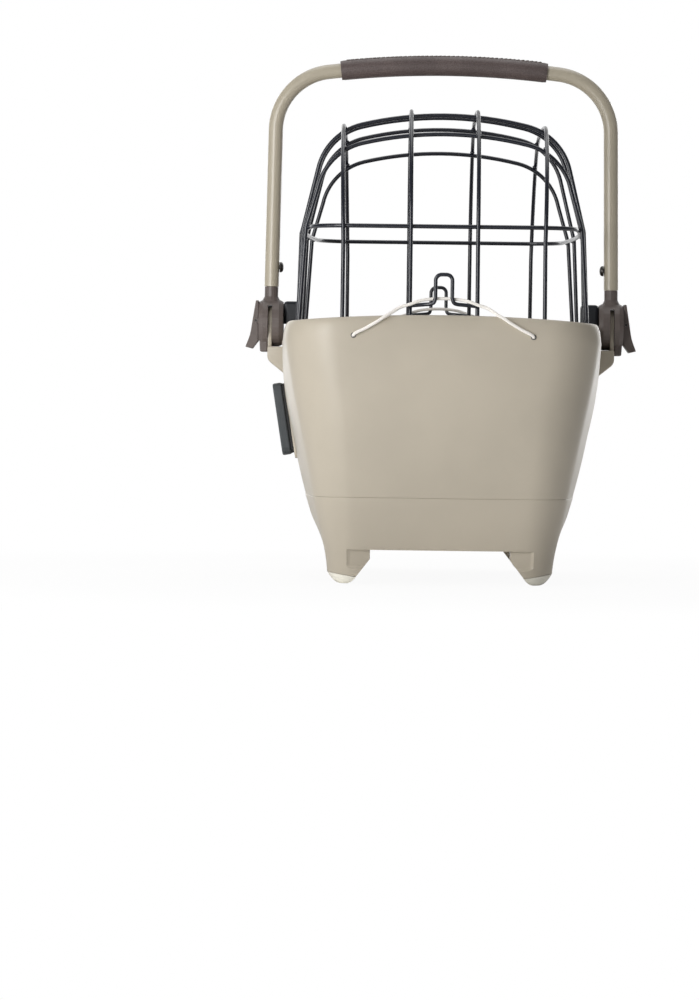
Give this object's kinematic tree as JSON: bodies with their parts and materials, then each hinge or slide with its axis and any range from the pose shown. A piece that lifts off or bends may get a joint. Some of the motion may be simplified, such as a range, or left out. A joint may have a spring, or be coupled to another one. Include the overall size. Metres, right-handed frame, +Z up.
{
  "type": "pet bicycle basket",
  "caption": "Rectangular pet carrying basket with a removable wire dome, a folding carrying handle and a plate that fastens it to a bicycle.",
  "frame": {"origin": "on the floor, under the middle of the four feet", "axes": "+Z up, X across the basket with the mounting plate on the -X side, Y along the basket"},
  "size_m": [0.377, 0.4558, 0.5036],
  "materials": {
    "shell": "fine satin",
    "foot": "satin",
    "cushion": "woven",
    "plate": "fine grain",
    "gasket": "matt",
    "steel": "zinc plated",
    "wire": "gloss powder coat",
    "clip": "satin",
    "cord": "braided",
    "tube": "satin paint",
    "grip": "stitched",
    "yoke": "satin",
    "rivet": "dark"
  },
  "bodies": {
    "tub": {"upper_shell": "shell", "base_shell": "shell", "foot_cap_front_left": "foot", "foot_cap_front_right": "foot", "foot_cap_back_left": "foot", "foot_cap_back_right": "foot", "cushion": "cushion", "mount_plate": "plate", "mount_gasket": "gasket", "mount_backing_plate": "steel", "mount_screw_1": "steel", "mount_screw_2": "steel", "mount_screw_3": "steel", "mount_screw_4": "steel", "elastic_cord_front": "cord", "elastic_cord_back": "cord", "cord_stop_front_left": "cord", "cord_stop_front_right": "cord", "cord_stop_back_left": "cord", "cord_stop_back_right": "cord"},
    "handle": {"handle_tube": "tube", "handle_grip": "grip", "handle_rivet_left": "rivet", "handle_rivet_right": "rivet", "handle_yoke_left": "yoke", "handle_yoke_right": "yoke", "handle_pivot_pin_left": "steel", "handle_pivot_pin_right": "steel", "lever_pin_left": "steel", "lever_pin_right": "steel", "lever_spring_left": "steel", "lever_spring_right": "steel"},
    "lever_left": {"release_lever_left": "yoke"},
    "lever_right": {"release_lever_right": "yoke"},
    "dome": {"cage_arch_1": "wire", "cage_arch_2": "wire", "cage_arch_3": "wire", "cage_arch_4": "wire", "cage_arch_5": "wire", "cage_long_wire_1": "wire", "cage_long_wire_2": "wire", "cage_long_wire_3": "wire", "cage_long_wire_4": "wire", "cage_mid_ring": "wire", "cage_base_ring": "wire", "cage_hook_front": "wire", "cage_hook_back": "wire", "cage_clip_left": "clip", "cage_clip_right": "clip"}
  },
  "joints": [
    {"name": "handle_fold", "type": "hinge", "parent": "tub", "child": "handle", "pos_m": [0, 0, 0.244], "axis": [1, 0, 0], "range_deg": [-90, 90]},
    {"name": "lever_press_right", "type": "hinge", "parent": "handle", "child": "lever_right", "pos_m": [0.1786, 0, 0.246], "axis": [0, 1, 0], "range_deg": [0, 6], "stiffness_Nm_per_rad": 0.5, "springref_deg": -5.73, "deforming": ["lever_spring_right"]},
    {"name": "lever_press_left", "type": "hinge", "parent": "handle", "child": "lever_left", "pos_m": [-0.1786, 0, 0.246], "axis": [0, -1, 0], "range_deg": [0, 6], "stiffness_Nm_per_rad": 0.5, "springref_deg": -5.73, "deforming": ["lever_spring_left"]},
    {"name": "dome_lift", "type": "slide", "parent": "tub", "child": "dome", "axis": [0, 0, 1], "range_m": [0, 0.025], "stiffness_N_per_m": 600, "springref_m": -0.02, "deforming": ["elastic_cord_front", "elastic_cord_back"]}
  ]
}
